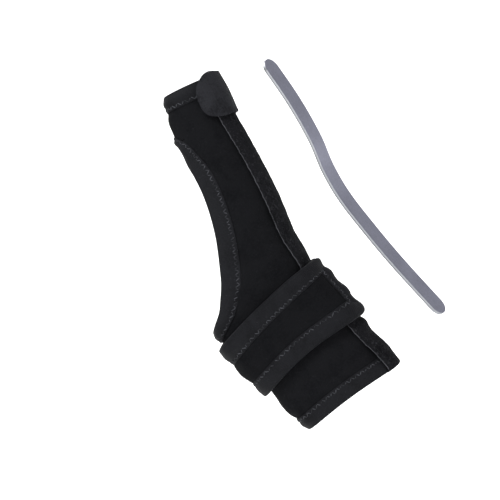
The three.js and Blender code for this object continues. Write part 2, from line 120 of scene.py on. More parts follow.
def limb_point(z, angle):
    z, angle = np.broadcast_arrays(np.asarray(z, float), np.asarray(angle, float))
    at = height_share(z)
    square = table_value(limb_rows, 5, at)
    half_width = mix(wrist_width, thumb_width, table_value(limb_rows, 3, at)) / 2
    half_depth = mix(wrist_depth, thumb_depth, table_value(limb_rows, 4, at)) / 2
    a = np.radians(angle)
    across = (np.cos(a) - square * np.cos(3 * a)) / (1 - square)
    front = (np.sin(a) + square * np.sin(3 * a)) / (1 - square)
    x = thumb_aside * table_value(limb_rows, 1, at) + half_width * across
    y = -thumb_forward * table_value(limb_rows, 2, at) - half_depth * front
    return np.stack([x, y, z], axis=-1)


def limb_slopes(z, angle):
    step = 0.05
    up = (limb_point(z + step, angle) - limb_point(z - step, angle)) / (2 * step)
    round_ = (limb_point(z, angle + step) - limb_point(z, angle - step)) / (2 * step)
    normal = np.cross(up, round_)
    return up, round_, normal / np.linalg.norm(normal, axis=-1, keepdims=True)


def angle_gap(a, b):
    return np.abs((a - b + 180) % 360 - 180)


def dent_lift(z, angle):
    lift = np.zeros(np.broadcast(z, angle).shape)
    for height, middle, rise, long_, wide in cloth_dents:
        along = (z - share_height(height)) / (long_ * wrist_depth)
        round_ = np.radians(angle_gap(angle, middle)) / wide
        lift = lift + rise * panel_wall * np.exp(-along * along - round_ * round_)
    return lift


def cloth_point(z, angle, lift):
    z, angle = np.asarray(z, float), np.asarray(angle, float)
    normal = limb_slopes(z, angle)[2]
    return limb_point(z, angle) + normal * np.asarray(lift + dent_lift(z, angle))[..., None]


def angle_along(z, angle, distance, steps=12):
    at = np.asarray(angle, float) + 0 * np.asarray(z, float)
    for _ in range(steps):
        at = at + distance / steps / np.linalg.norm(limb_slopes(z, at)[1], axis=-1)
    return at


def cuff_end(angle):
    return -cuff_reach + cuff_arch * np.sin(np.radians(angle)) ** 2


def thumb_end(angle):
    return thumb_reach - thumb_slant * (1 + np.cos(np.radians(angle))) / 2


def closer_at_ends(share):
    """Even steps along the hand opening, drawn closer together at its two round ends."""
    turn = 2 * np.pi * share
    return (turn - 0.45 * np.sin(turn)) / (2 * np.pi)


def opening_half(along):
    return np.maximum(table_value(opening_rows, 1, along), 0)


def opening_height(along):
    return opening_bottom + opening_length * (1 - np.cos(np.pi * along)) / 2


def ripple(points, size, lift):
    """How far a soft unevenness of the cloth moves each point, its humps about size millimetres across."""
    humps = [noise.noise(Vector(point) / size) for point in points.reshape(-1, 3)]
    return lift * np.array(humps).reshape(points.shape[:-1])


def hump(distance, place, reach):
    """One soft hump at a place, as a share of its height."""
    return np.exp(-((distance - place) / reach) ** 2)


def woven_sheet(name, columns, rows, place):
    """A sheet of cloth: place takes each point's column and row and gives its place in millimetres."""
    bpy.ops.object.select_all(action="DESELECT")
    bpy.ops.mesh.primitive_grid_add(x_subdivisions=columns, y_subdivisions=rows, size=2)
    sheet = bpy.context.object
    sheet.name = sheet.data.name = name
    flat = np.empty(3 * len(sheet.data.vertices))
    sheet.data.vertices.foreach_get("co", flat)
    flat = flat.reshape(-1, 3)
    j = np.rint((flat[:, 0] + 1) / 2 * columns)
    i = np.rint((flat[:, 1] + 1) / 2 * rows)
    sheet.data.vertices.foreach_set("co", (place(j, i) / 1000).ravel())
    sheet.data.update()
    bpy.ops.object.mode_set(mode="EDIT")
    bpy.ops.mesh.select_all(action="SELECT")
    bpy.ops.mesh.remove_doubles(threshold=1e-6)
    bpy.ops.object.mode_set(mode="OBJECT")
    return sheet


def thicken(sheet, wall, edge, side=1):
    """Gives a sheet its wall, outwards from the limb or to both sides alike, and softens the wall's edges."""
    solid = sheet.modifiers.new("Wall", "SOLIDIFY")
    solid.thickness = wall / 1000
    solid.offset = side
    bpy.context.view_layer.objects.active = sheet
    bpy.ops.object.modifier_apply(modifier=solid.name)
    if edge:
        soften = sheet.modifiers.new("Edge", "BEVEL")
        soften.width = edge / 1000
        soften.segments = 3
        soften.limit_method = "ANGLE"
        soften.angle_limit = math.radians(55)
        bpy.ops.object.modifier_apply(modifier=soften.name)
    bpy.ops.object.shade_smooth()


def panel_place(j, i):
    beside = (i > rows_below) & (i < rows_below + rows_beside)
    share = np.clip((i - rows_below) / rows_beside, 0, 1)
    along = closer_at_ends(share)
    half = np.where(beside, opening_half(along), 0)
    angle = mix(180 - half, half - 180, j / panel_columns)
    near_edge = (2 * j / panel_columns - 1) ** 2
    below = mix(cuff_end(angle), opening_bottom, np.clip(i / rows_below, 0, 1))
    level = mix(opening_bottom + opening_length * share, opening_height(along), near_edge)
    top_share = np.clip((i - rows_below - rows_beside) / rows_above, 0, 1)
    above = mix(opening_height(1.0), thumb_end(angle), top_share)
    z = np.where(i <= rows_below, below, np.where(i > rows_below + rows_beside, above, level))
    points = cloth_point(z, angle, 0)
    normal = limb_slopes(z, angle)[2]
    uneven = ripple(points, 16, 0.55) + ripple(points + 40, 6, 0.2)
    from_cuff, from_thumb = z - cuff_end(angle), thumb_end(angle) - z
    from_opening = np.radians(180 - half - np.abs(angle)) * edge_radius
    puffed = 0.45 * hump(from_cuff, 12, 3) + 0.45 * hump(from_thumb, 12, 3)
    puffed = puffed + 0.4 * hump(from_opening, 12.5, 3.2) * beside
    bare = smooth(from_cuff, 8.2, 11) * smooth(from_thumb, 8.2, 11)
    bare = bare * np.where(half > 0, smooth(from_opening, 8.6, 11.5), 1)
    low, high = strap_under
    bare = bare * (1 - smooth(z, low, low + 4) * (1 - smooth(z, high - 4, high)))
    bare = bare * smooth(angle_gap(angle, pocket_middle), 24, 30)
    return points + normal * ((uneven + puffed) * bare)[:, None]


def new_material(name):
    material = bpy.data.materials.new(name)
    material.use_nodes = True
    nodes, links = material.node_tree.nodes, material.node_tree.links
    return material, nodes, links, nodes["Principled BSDF"]


def nap_cloth(name, dark, light, nap=0.0012, depth=0.0003, lint=0.0):
    """Brushed loop cloth: fibres in clumps about nap metres wide, over a soft mottling, with some pale lint
    where it is asked for."""
    material, nodes, links, shader = new_material(name)
    shader.inputs["Roughness"].default_value = 0.95
    shader.inputs["Specular IOR Level"].default_value = 0.02
    shader.inputs["Sheen Weight"].default_value = 0.008
    shader.inputs["Sheen Roughness"].default_value = 0.35
    place = nodes.new("ShaderNodeTexCoord")
    clumps = nodes.new("ShaderNodeTexNoise")
    clumps.inputs["Scale"].default_value = 1 / nap
    clumps.inputs["Detail"].default_value = 5
    clumps.inputs["Roughness"].default_value = 0.65
    wide = nodes.new("ShaderNodeTexNoise")
    wide.inputs["Scale"].default_value = 95
    wide.inputs["Detail"].default_value = 4
    wide.inputs["Distortion"].default_value = 0.6
    both = nodes.new("ShaderNodeMath")
    both.operation = "MULTIPLY_ADD"
    both.inputs[1].default_value = 0.9
    mottling = nodes.new("ShaderNodeValToRGB")
    mottling.color_ramp.elements[0].position = 0.7
    mottling.color_ramp.elements[0].color = (*dark, 1)
    mottling.color_ramp.elements[1].position = 1.2
    mottling.color_ramp.elements[1].color = (*light, 1)
    bump = nodes.new("ShaderNodeBump")
    bump.inputs["Strength"].default_value = 0.6
    bump.inputs["Distance"].default_value = depth
    links.new(place.outputs["Object"], clumps.inputs["Vector"])
    links.new(place.outputs["Object"], wide.inputs["Vector"])
    links.new(wide.outputs["Fac"], both.inputs[0])
    links.new(clumps.outputs["Fac"], both.inputs[2])
    links.new(both.outputs["Value"], mottling.inputs["Fac"])
    links.new(clumps.outputs["Fac"], bump.inputs["Height"])
    links.new(bump.outputs["Normal"], shader.inputs["Normal"])
    if not lint:
        links.new(mottling.outputs["Color"], shader.inputs["Base Color"])
        return material
    specks = nodes.new("ShaderNodeTexNoise")
    specks.inputs["Scale"].default_value = 480
    specks.inputs["Detail"].default_value = 3
    specks.inputs["Distortion"].default_value = 1.5
    caught = nodes.new("ShaderNodeMapRange")
    caught.inputs["From Min"].default_value = 0.56
    caught.inputs["From Max"].default_value = 0.72
    caught.inputs["To Max"].default_value = lint
    pale = nodes.new("ShaderNodeMix")
    pale.data_type = "RGBA"
    pale.inputs["B"].default_value = (0.05, 0.051, 0.057, 1)
    links.new(place.outputs["Object"], specks.inputs["Vector"])
    links.new(specks.outputs["Fac"], caught.inputs["Value"])
    links.new(caught.outputs["Result"], pale.inputs["Factor"])
    links.new(mottling.outputs["Color"], pale.inputs["A"])
    links.new(pale.outputs["Result"], shader.inputs["Base Color"])
    return material


def smooth_lining(name):
    """The lining: a smooth knit in fine rows, a shade greyer than the nap."""
    material, nodes, links, shader = new_material(name)
    shader.inputs["Roughness"].default_value = 0.6
    shader.inputs["Specular IOR Level"].default_value = 0.06
    place = nodes.new("ShaderNodeTexCoord")
    rows = nodes.new("ShaderNodeTexWave")
    rows.bands_direction = "Z"
    rows.inputs["Scale"].default_value = 260
    rows.inputs["Distortion"].default_value = 1.5
    rows.inputs["Detail Scale"].default_value = 3
    tone = nodes.new("ShaderNodeValToRGB")
    tone.color_ramp.elements[0].color = (0.01, 0.0103, 0.0115, 1)
    tone.color_ramp.elements[1].color = (0.019, 0.0195, 0.0215, 1)
    relief = nodes.new("ShaderNodeBump")
    relief.inputs["Strength"].default_value = 0.4
    relief.inputs["Distance"].default_value = 0.0002
    links.new(place.outputs["Object"], rows.inputs["Vector"])
    links.new(rows.outputs["Fac"], tone.inputs["Fac"])
    links.new(rows.outputs["Fac"], relief.inputs["Height"])
    links.new(tone.outputs["Color"], shader.inputs["Base Color"])
    links.new(relief.outputs["Normal"], shader.inputs["Normal"])
    return material


# where the sleeve starts in millimetres, and how far its middle lies forward in metres
sleeve_start, sleeve_forward = 60, 0.004


def line_inside(sheet, lining):
    """Gives the lining to the faces that look in at the limb, whose middle lies forward in the sleeve."""
    sheet.data.materials.append(lining)
    for face in sheet.data.polygons:
        z = face.center.z * 1000
        aside = thumb_aside * float(table_value(limb_rows, 1, height_share(np.array(z)))) / 1000
        forward = sleeve_forward if z > sleeve_start else 0
        if face.normal.x * (face.center.x - aside) + face.normal.y * (face.center.y + forward) < 0:
            face.material_index = 1


panel = woven_sheet("panel_cloth", panel_columns, rows_below + rows_beside + rows_above, panel_place)
thicken(panel, panel_wall, 0)
panel.data.materials.append(nap_cloth("brushed_loop_cloth", (0.0046, 0.0048, 0.0056), (0.0068, 0.007, 0.008)))
line_inside(panel, smooth_lining("panel_lining"))
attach(panel, "root")
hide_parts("panel")


# Bindings of the panel: knitted tape, folded over each raw edge of the laminate and caught by a zigzag seam
# near the tape's own edge. One goes round the hand opening, one round the thumb's end and one round the
# forearm's end.
tape_wall = 0.9
opening_tape, opening_tape_narrow, thumb_tape, cuff_tape = 8.4, 6.0, 8.0, 8.0
stitch_pitch, sewn_sink = 3.0, 0.7


def tape_section(wall, width):
    """The closed section of a folded tape, as distances into the cloth and out from the cloth's middle."""
    slot = wall / 2 + clearance
    back = slot + tape_wall
    lip = tape_wall / 2
    outside = [(width - lip * (1 - math.sin(a)), slot + lip + lip * math.cos(a))
               for a in np.linspace(math.pi, 0, 5)]
    leg = [(mix(width - lip, 0, k / 7), back) for k in range(1, 7)]
    fold = clearance + tape_wall
    crown = [(-fold * math.sin(a), back * math.cos(a)) for a in np.linspace(0, math.pi, 11)]
    upper = outside + leg + crown[:6]
    lower = [(into, -out) for into, out in reversed(upper[:-1])]
    inner = [(mix(width - lip, 0, k / 5), -slot) for k in range(1, 6)]
    turn = [(-clearance * math.sin(a), -slot * math.cos(a)) for a in np.linspace(0.4, math.pi - 0.4, 5)]
    inner_back = [(into, slot) for into, out in reversed(inner)]
    return np.array(upper + lower + inner + turn + inner_back)


def path_frame(z, angle, closed):
    """How z and angle change for each millimetre inwards from each place of a path on the limb."""
    points = limb_point(z, angle)
    if closed:
        along = np.roll(points, -1, axis=0) - np.roll(points, 1, axis=0)
    else:
        along = np.gradient(points, axis=0)
    along /= np.linalg.norm(along, axis=-1, keepdims=True)
    up, round_, normal = limb_slopes(z, angle)
    inward = np.cross(normal, along)
    inward /= np.linalg.norm(inward, axis=-1, keepdims=True)

    def dot(a, b):
        return np.sum(a * b, axis=-1)

    uu, ur, rr = dot(up, up), dot(up, round_), dot(round_, round_)
    scale = uu * rr - ur * ur
    per_up = (dot(inward, up) * rr - dot(inward, round_) * ur) / scale
    per_round = (dot(inward, round_) * uu - dot(inward, up) * ur) / scale
    return per_up, per_round


def even_path(z, angle, spacing, closed, reach=None):
    """The path in even steps: z, angle and the tape's share of its width at each, and the path's length."""
    points = limb_point(z, angle)
    reach = np.ones(len(z)) if reach is None else reach
    if closed:
        points = np.vstack([points, points[:1]])
        whole_turns = 360 * np.rint((angle[-1] - angle[0]) / 360)
        z, angle = np.append(z, z[0]), np.append(angle, angle[0] + whole_turns)
        reach = np.append(reach, reach[0])
    run = np.concatenate([[0], np.cumsum(np.linalg.norm(np.diff(points, axis=0), axis=1))])
    count = int(round(run[-1] / spacing))
    at = np.linspace(0, run[-1], count + 1)
    if closed:
        at = at[:-1]
    return np.interp(at, run, z), np.interp(at, run, angle), np.interp(at, run, reach), run[-1]


def drawn_down(into, width):
    """How much a folded tape is drawn down beside its seam, from 0 to 1 towards its own edge."""
    return smooth(into, width - 3.6, width - 1.2)


def folded_tape(name, z, angle, closed, wall, width, lift, seed, reach=None):
    """A tape folded over a cloth edge. The path runs along that edge with the cloth on its left, seen from
    outside."""
    z, angle, reach, length = even_path(z, angle, 1.0, closed, reach)
    per_up, per_round = path_frame(z, angle, closed)
    section = tape_section(wall, width)
    count = len(z)
    run = np.arange(count) * length / count

    def place(j, i):
        k = (j % count if closed else j).astype(int)
        into, out = section[(i % len(section)).astype(int)].T
        outer = np.clip((np.abs(out) - wall / 2 - clearance) / tape_wall, 0, 1)
        puff = 0.3 * outer * np.sin(np.clip(into / (width - 2.2), 0, 1) * np.pi) ** 1.5
        crown = 0.12 * smooth(-into, 0.3, 1.2) - 0.4 * outer * (1 - smooth(into, -0.5, 3.2))
        stitched = 0.1 + 0.09 * np.cos(run[k] * 2 * np.pi / stitch_pitch)
        pinch = hump(into, width - 1.6, 1.2) * outer * stitched
        sink = mix(0.32, sewn_sink, outer) * drawn_down(into, width)
        into = np.where(into > 0, into * reach[k], into)
        here_z = z[k] + into * per_up[k]
        here_angle = angle[k] + into * per_round[k]
        flat = limb_point(here_z, here_angle)
        uneven = ripple(flat + seed, 4, 0.12) * (np.abs(out) > wall / 2 + clearance + 0.5)
        relief = np.sign(out) * (puff + crown + uneven - pinch - sink)
        return cloth_point(here_z, here_angle, lift(here_z, here_angle) + wall / 2 + out + relief)

    tape = woven_sheet(name, count if closed else count - 1, len(section), place)
    bpy.ops.object.mode_set(mode="EDIT")
    if not closed:
        bpy.ops.mesh.select_all(action="DESELECT")
        bpy.ops.mesh.select_non_manifold()
        bpy.ops.mesh.fill_holes(sides=0)
    bpy.ops.mesh.select_all(action="SELECT")
    bpy.ops.mesh.normals_make_consistent(inside=False)
    bpy.ops.object.mode_set(mode="OBJECT")
    bpy.ops.object.shade_smooth()
    return tape, length


def sewn_seam(name, z, angle, closed, near, far, lift, width=0, reach=None, pitch=stitch_pitch,
              thickness=0.32, dip=0.42):
    """A seam beside a path. Its thread goes to and fro between near and far millimetres in from the edge, or
    straight where the two are the same. It dips into the cloth at the end of each stitch, every second stitch
    lies deeper, and here and there the nap half covers it."""
    steps_a_pitch = 8
    z, angle, reach = even_path(z, angle, pitch / steps_a_pitch, closed, reach)[:3]
    per_up, per_round = path_frame(z, angle, closed)
    count = len(z) // steps_a_pitch * steps_a_pitch if closed else len(z)
    stitch = 2 * np.arange(count) / steps_a_pitch
    into = mix(near, far, np.abs((stitch / 2) % 1 * 2 - 1))
    sink = sewn_sink * drawn_down(into, width) if width else 0
    into = into * reach[:count]
    here_z, here_angle = z[:count] + into * per_up[:count], angle[:count] + into * per_round[:count]
    rise = (dip + 0.15) * np.sin(np.pi * (stitch % 1)) ** 0.7 - dip * np.where(stitch % 2 < 1, 1, 1.4) - sink
    rise = rise - np.abs(ripple(limb_point(here_z, here_angle) + 15, 5, 1.2 * dip))
    points = cloth_point(here_z, here_angle, lift(here_z, here_angle) + rise)
    curve = bpy.data.curves.new(name, "CURVE")
    curve.dimensions = "3D"
    curve.bevel_depth = thickness / 1000
    curve.bevel_resolution = 1
    spline = curve.splines.new("POLY")
    spline.points.add(count - 1)
    spline.points.foreach_set("co", np.hstack([points / 1000, np.ones((count, 1))]).ravel())
    spline.use_cyclic_u = closed
    seam = bpy.data.objects.new(name, curve)
    bpy.context.collection.objects.link(seam)
    bpy.ops.object.select_all(action="DESELECT")
    seam.select_set(True)
    bpy.context.view_layer.objects.active = seam
    bpy.ops.object.convert(target="MESH")
    bpy.ops.object.shade_smooth()
    return bpy.context.object


def knitted_tape(name, dark, light, length, width):
    """Knitted binding tape: fine ribs across the tape, which follow its own map, over a soft mottling."""
    material = nap_cloth(name, dark, light, nap=0.0008, depth=0.0002)
    nodes, links = material.node_tree.nodes, material.node_tree.links
    shader = nodes["Principled BSDF"]
    shader.inputs["Roughness"].default_value = 0.7
    shader.inputs["Specular IOR Level"].default_value = 0.05
    own = nodes.new("ShaderNodeUVMap")
    size = nodes.new("ShaderNodeMapping")
    size.inputs["Scale"].default_value = (length, width, 1)
    ribs = nodes.new("ShaderNodeTexWave")
    ribs.bands_direction = "X"
    ribs.inputs["Scale"].default_value = 0.33
    ribs.inputs["Distortion"].default_value = 1.2
    ribs.inputs["Detail"].default_value = 2
    ribs.inputs["Detail Scale"].default_value = 2.5
    relief = nodes.new("ShaderNodeBump")
    relief.inputs["Strength"].default_value = 0.3
    relief.inputs["Distance"].default_value = 0.0002
    links.new(own.outputs["UV"], size.inputs["Vector"])
    links.new(size.outputs["Vector"], ribs.inputs["Vector"])
    links.new(ribs.outputs["Fac"], relief.inputs["Height"])
    links.new(nodes["Bump"].outputs["Normal"], relief.inputs["Normal"])
    links.new(relief.outputs["Normal"], shader.inputs["Normal"])
    return material


def seam_thread():
    """The grey polyester thread of every seam."""
    material, nodes, links, shader = new_material("seam_thread")
    shader.inputs["Roughness"].default_value = 0.6
    shader.inputs["Specular IOR Level"].default_value = 0.08
    place = nodes.new("ShaderNodeTexCoord")
    fibre = nodes.new("ShaderNodeTexNoise")
    fibre.inputs["Scale"].default_value = 400
    ramp = nodes.new("ShaderNodeValToRGB")
    ramp.color_ramp.elements[0].color = (0.013, 0.0135, 0.0155, 1)
    ramp.color_ramp.elements[0].position = 0.38
    ramp.color_ramp.elements[1].color = (0.043, 0.0445, 0.051, 1)
    ramp.color_ramp.elements[1].position = 0.62
    links.new(place.outputs["Object"], fibre.inputs["Vector"])
    links.new(fibre.outputs["Fac"], ramp.inputs["Fac"])
    links.new(ramp.outputs["Color"], shader.inputs["Base Color"])
    return material


def no_lift(z, angle):
    return 0 * z


def tape_outside(wall, lift):
    return lambda z, angle: lift(z, angle) + wall + clearance + tape_wall


thread = seam_thread()
tape_dark, tape_light = (0.0055, 0.0057, 0.0067), (0.0087, 0.009, 0.0106)
upwards = closer_at_ends(np.linspace(0, 1, 200))
downwards = upwards[::-1][1:-1]
opening_path = (opening_height(np.concatenate([upwards, downwards])),
                180 + np.concatenate([opening_half(upwards), -opening_half(downwards)]))
full = smooth(upwards, 0.14, 0.36) * (1 - smooth(upwards, 0.72, 0.95))
full = mix(opening_tape_narrow / opening_tape, 1, np.concatenate([full, full[::-1][1:-1]]))
ring = 180 + np.arange(360.0)
thumb_path = (thumb_end(ring), ring)
cuff_path = (cuff_end(-ring), -ring)
edge_bindings = [
    ("hand_opening_binding", "hand_opening", opening_path, opening_tape, full, 3),
    ("thumb_binding", "thumb", thumb_path, thumb_tape, None, 11),
    ("cuff_binding", "cuff", cuff_path, cuff_tape, None, 19),
]
for node, short, path, width, reach, seed in edge_bindings:
    tape, length = folded_tape(short + "_tape", *path, True, panel_wall, width, no_lift, seed, reach)
    tape_cloth = knitted_tape(short + "_knitted_tape", tape_dark, tape_light, length, 2 * width)
    tape.data.materials.append(tape_cloth)
    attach(tape, "root")
    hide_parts(node)
    seam = sewn_seam(short + "_seam", *path, True, width - 2.5, width - 0.5,
                     tape_outside(panel_wall, no_lift), width, reach)
    seam.data.materials.append(thread)
    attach(seam, "root")


# Stay pocket: a strip of the loop cloth sewn down its two long edges along the thumb's side, which leaves a
# channel for the metal stay, open at the forearm's end. Its front edge is turned under and shows as a thin
# raised line, coloured far paler than the strip: partly pale fluff, partly a painted highlight of light
# catching it.
pocket_wall, pocket_space, pocket_width, pocket_inset = 1.2, 0.3, 24.0, 3.0
tape_rise, cuff_ramp, thumb_ramp = tape_wall + clearance, 14.0, 5.0
pocket_turn, pocket_past, below_strap = 1.9, 0.25, -16.6
pocket_columns, pocket_rows, turned_rows = 40, 260, 8
# height, angle
pocket_seam = np.array([(-1, 41), (-0.3, 44), (0.18, 41), (0.37, 46), (0.63, 50), (0.83, 58), (1, 62)])


def pocket_front(z):
    return table_value(pocket_seam, 1, height_share(z))


def on_panel(z, angle):
    cuff_top = cuff_end(angle) + cuff_tape
    thumb_bottom = thumb_end(angle) - thumb_tape
    over_cuff = 1 - smooth(z, cuff_top + 0.5, cuff_top + cuff_ramp)
    over_thumb = smooth(z, thumb_bottom - thumb_ramp, thumb_bottom - 0.5)
    return panel_wall + clearance + tape_rise * (over_cuff + over_thumb)


def pocket_place(j, i):
    across = j / pocket_columns
    up = np.clip((i - turned_rows) / pocket_rows, 0, 1)
    turn = math.radians(80) * np.clip((turned_rows - i) / turned_rows, 0, 1)
    angle = np.full_like(i, pocket_middle)
    for _ in range(3):
        z = mix(cuff_end(angle), thumb_end(angle) - pocket_inset, up) - pocket_past * np.sin(turn)
        angle = angle_along(z, pocket_front(z), -pocket_width * across)
    channel = pocket_space * np.sin(np.pi * across) ** 2
    bulge = 1.3 * hump(z, below_strap, 2.8) * np.sin(np.pi * across)
    roll = 0.35 * hump(across * pocket_width, 0.9, 0.7) - 0.2 * hump(across * pocket_width, 2.6, 0.7)
    lift = on_panel(z, angle) + channel + bulge + roll - pocket_turn * (1 - np.cos(turn))
    points = cloth_point(z, angle, lift)
    normal = limb_slopes(z, angle)[2]
    uneven = np.abs(ripple(points, 7, 0.5)) + np.abs(ripple(points + 9, 3, 0.16))
    return points + normal * uneven[:, None]


pocket = woven_sheet("stay_pocket_strip", pocket_columns, pocket_rows + turned_rows, pocket_place)
thicken(pocket, pocket_wall, 0.35)
speckled_cloth = nap_cloth("pocket_loop_cloth", (0.0036, 0.0037, 0.0044), (0.0092, 0.0094, 0.0108),
                           nap=0.0009, depth=0.0006, lint=0.32)
pocket.data.materials.append(speckled_cloth)
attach(pocket, "root")
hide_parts("stay_pocket")

heights = np.linspace(thumb_end(60) - pocket_inset - 0.3, cuff_end(40), 400)
front_edge = (heights, pocket_front(heights))
back_edge = (heights[::-1], angle_along(heights[::-1], pocket_front(heights[::-1]), -pocket_width))


def on_strip(z, angle):
    return on_panel(z, angle) + pocket_wall


edge_roll = sewn_seam("pocket_edge_roll", *front_edge, False, -0.25, -0.05,
                      lambda z, angle: on_strip(z, angle) - 0.1, pitch=9, thickness=0.3, dip=0.1)
# The raised roll is coloured much paler than the strip. This is partly pale fluff and partly a painted
# highlight, where light catches the edge.
roll_fluff_and_highlight = nap_cloth("pocket_roll_fluff_and_painted_highlight", (0.02, 0.0205, 0.023), (0.052, 0.053, 0.059),
                       nap=0.0007, depth=0.0004)
edge_roll.data.materials.append(roll_fluff_and_highlight)
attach(edge_roll, "root")
seam = sewn_seam("pocket_back_seam", *back_edge, False, 2.0, 2.0, on_strip, pitch=5.2, thickness=0.2)
seam.data.materials.append(thread)
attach(seam, "root")


# Wrist strap: the same laminate cut as a wide band, sewn to the panel behind the thumb's side, drawn round
# the wrist and held by its hook patch at the free end, where it puckers a little. Tape is folded over its
# long edges and round that end.
strap_wall, strap_tape = 2.2, 9.0
strap_middle, strap_width, strap_tilt, strap_bow, strap_flare, strap_narrowing = 5.9, 38.0, 3.7, 1.6, 1.6, 0.8
strap_free, strap_sewn, strap_corner, strap_ramp = 9.0, 338.0, 5.5, 22
pucker_rise, pucker_pitch = 1.1, 13.0
strap_columns, corner_columns, strap_rows = 220, 8, 44
# across, angle, rise, long, wide
strap_swells = [
    (0.3, 14, 0.15, 0.22, 0.5),
    (0, 180, 1.2, 0.2, 0.7),
    (0, 90, 0.3, 0.3, 0.6),
    (0, 265, 0.3, 0.3, 0.6),
]


def over_pocket(z, angle):
    front = pocket_front(z)
    back = angle_along(z, front, -pocket_width)
    turned = np.where(angle > 200, angle - 360, angle)
    return (1 - smooth(turned, front + 2, front + strap_ramp)) * smooth(turned, back - strap_ramp, back - 2)


def on_pocket(z, angle):
    return on_panel(z, angle) + over_pocket(z, angle) * (pocket_space + pocket_wall + clearance)


def strap_ring(angle):
    once, twice = np.cos(np.radians(angle)), np.cos(np.radians(2 * angle))
    middle = strap_middle + strap_tilt * once - strap_bow * twice
    return middle, strap_width / 2 + strap_flare * once + strap_narrowing * twice


def strap_lift(z, angle):
    middle, half = strap_ring(angle)
    swell = 0
    for across, at, rise, long_, wide in strap_swells:
        along = (z - middle - across * half) / (long_ * strap_width)
        round_ = np.radians(angle_gap(angle, at)) / wide
        swell = swell + rise * strap_wall * np.exp(-along * along - round_ * round_)
    wave = (1 + np.cos(2 * np.pi * (z - middle - half) / pucker_pitch)) / 2
    puckers = pucker_rise * wave * (1 - smooth(angle, 13, 32))
    return on_pocket(z, angle) + tape_rise + swell + puckers


def strap_places():
    """The strap's columns from its free end: each one's angle and the half width of its cloth there."""
    per_degree = float(np.linalg.norm(limb_slopes(np.array(strap_middle), np.array(strap_free))[1]))
    corner = strap_corner * (1 - np.cos(np.pi / 2 * np.arange(corner_columns + 1) / corner_columns))
    rest_columns = strap_columns - corner_columns
    rest = np.linspace(strap_free + strap_corner / per_degree, strap_sewn, rest_columns + 1)[1:]
    angle = np.concatenate([strap_free + corner / per_degree, rest])
    from_end = np.concatenate([corner, np.full(len(rest), strap_corner)])
    short = np.maximum(strap_corner - from_end, 0)
    half = strap_ring(angle)[1] - tape_rise - strap_corner + np.sqrt(strap_corner ** 2 - short ** 2)
    return angle, half


strap_angles, strap_halves = strap_places()


def strap_place(j, i):
    k = (strap_columns - j).astype(int)
    angle, half = strap_angles[k], strap_halves[k]
    across = mix(-1, 1, i / strap_rows)
    z = strap_ring(angle)[0] + across * half
    points = cloth_point(z, angle, strap_lift(z, angle))
    normal = limb_slopes(z, angle)[2]
    inside = half - np.abs(across) * half
    uneven = ripple(points, 10, 0.5) + ripple(points + 70, 4, 0.15) + 0.35 * hump(inside, 11.5, 2.6)
    return points + normal * (uneven * smooth(inside, 7.8, 10))[:, None]


strap = woven_sheet("wrist_strap_band", strap_columns, strap_rows, strap_place)
thicken(strap, strap_wall, 0.3)
strap.data.materials.append(nap_cloth("strap_loop_cloth", (0.0042, 0.0044, 0.0052), (0.0062, 0.0064, 0.0073)))
line_inside(strap, smooth_lining("strap_lining"))
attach(strap, "root")
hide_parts("wrist_strap")

strap_level = strap_ring(strap_angles)[0]
low_z, high_z = strap_level - strap_halves, strap_level + strap_halves
end_z = np.linspace(low_z[0], high_z[0], 26)[1:-1]
end_angles = np.full(len(end_z), strap_angles[0])
strap_edge = (np.concatenate([low_z[::-1], end_z, high_z]),
              np.concatenate([strap_angles[::-1], end_angles, strap_angles]))
tape, length = folded_tape("wrist_strap_tape", *strap_edge, False, strap_wall, strap_tape, strap_lift, 31)
tape.data.materials.append(knitted_tape("strap_knitted_tape", tape_dark, tape_light, length, 2 * strap_tape))
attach(tape, "root")
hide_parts("wrist_strap_binding")
seam = sewn_seam("wrist_strap_seam", *strap_edge, False, strap_tape - 2.5, strap_tape - 0.5,
                 tape_outside(strap_wall, strap_lift), strap_tape)
seam.data.materials.append(thread)
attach(seam, "root")

sewn_z = np.linspace(low_z[-1] + strap_tape + 0.5, high_z[-1] - strap_tape - 0.5, 60)
seam = sewn_seam("wrist_strap_end_seam", sewn_z, np.full(60, strap_sewn), False, -4.5, -2.0,
                 lambda z, angle: strap_lift(z, angle) + strap_wall)
seam.data.materials.append(thread)
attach(seam, "root")


# Thumb strap: a single band of flat-faced hook cloth, sewn behind the thumb and drawn round it. Its round tab
# is stuck to the panel on the palm's side.
thumb_strap_level, thumb_strap_width, thumb_tab_width, thumb_strap_tilt = thumb_reach - 14.3, 23.6, 26.4, 0.5
thumb_strap_tip, thumb_strap_root, thumb_strap_wall = 81.0, -120.0, 1.4
tip_columns, band_columns, thumb_strap_rows = 14, 86, 26


def thumb_strap_rise(from_tip, angle, side):
    """How far a point lies above the strap's level, where side is -1 on the lower edge and 1 on the upper."""
    lower = thumb_strap_width / 2
    upper = mix(lower, thumb_tab_width - lower, smooth(angle, 15, 60))
    short = np.maximum(1 - from_tip / lower, 0)
    power = 2.3
    return side * np.where(side > 0, upper, lower) * (1 - short ** power) ** (1 / power)


def thumb_strap_lift(z, angle):
    down = (thumb_end(angle) - thumb_tape - 0.5 - z) / (0.75 * thumb_strap_width)
    on_tape = 1 - 0.8 * np.clip(down, 0, 1)
    above_pocket = over_pocket(z, angle) * (pocket_space + pocket_wall + clearance)
    return panel_wall + clearance + tape_rise * on_tape + above_pocket


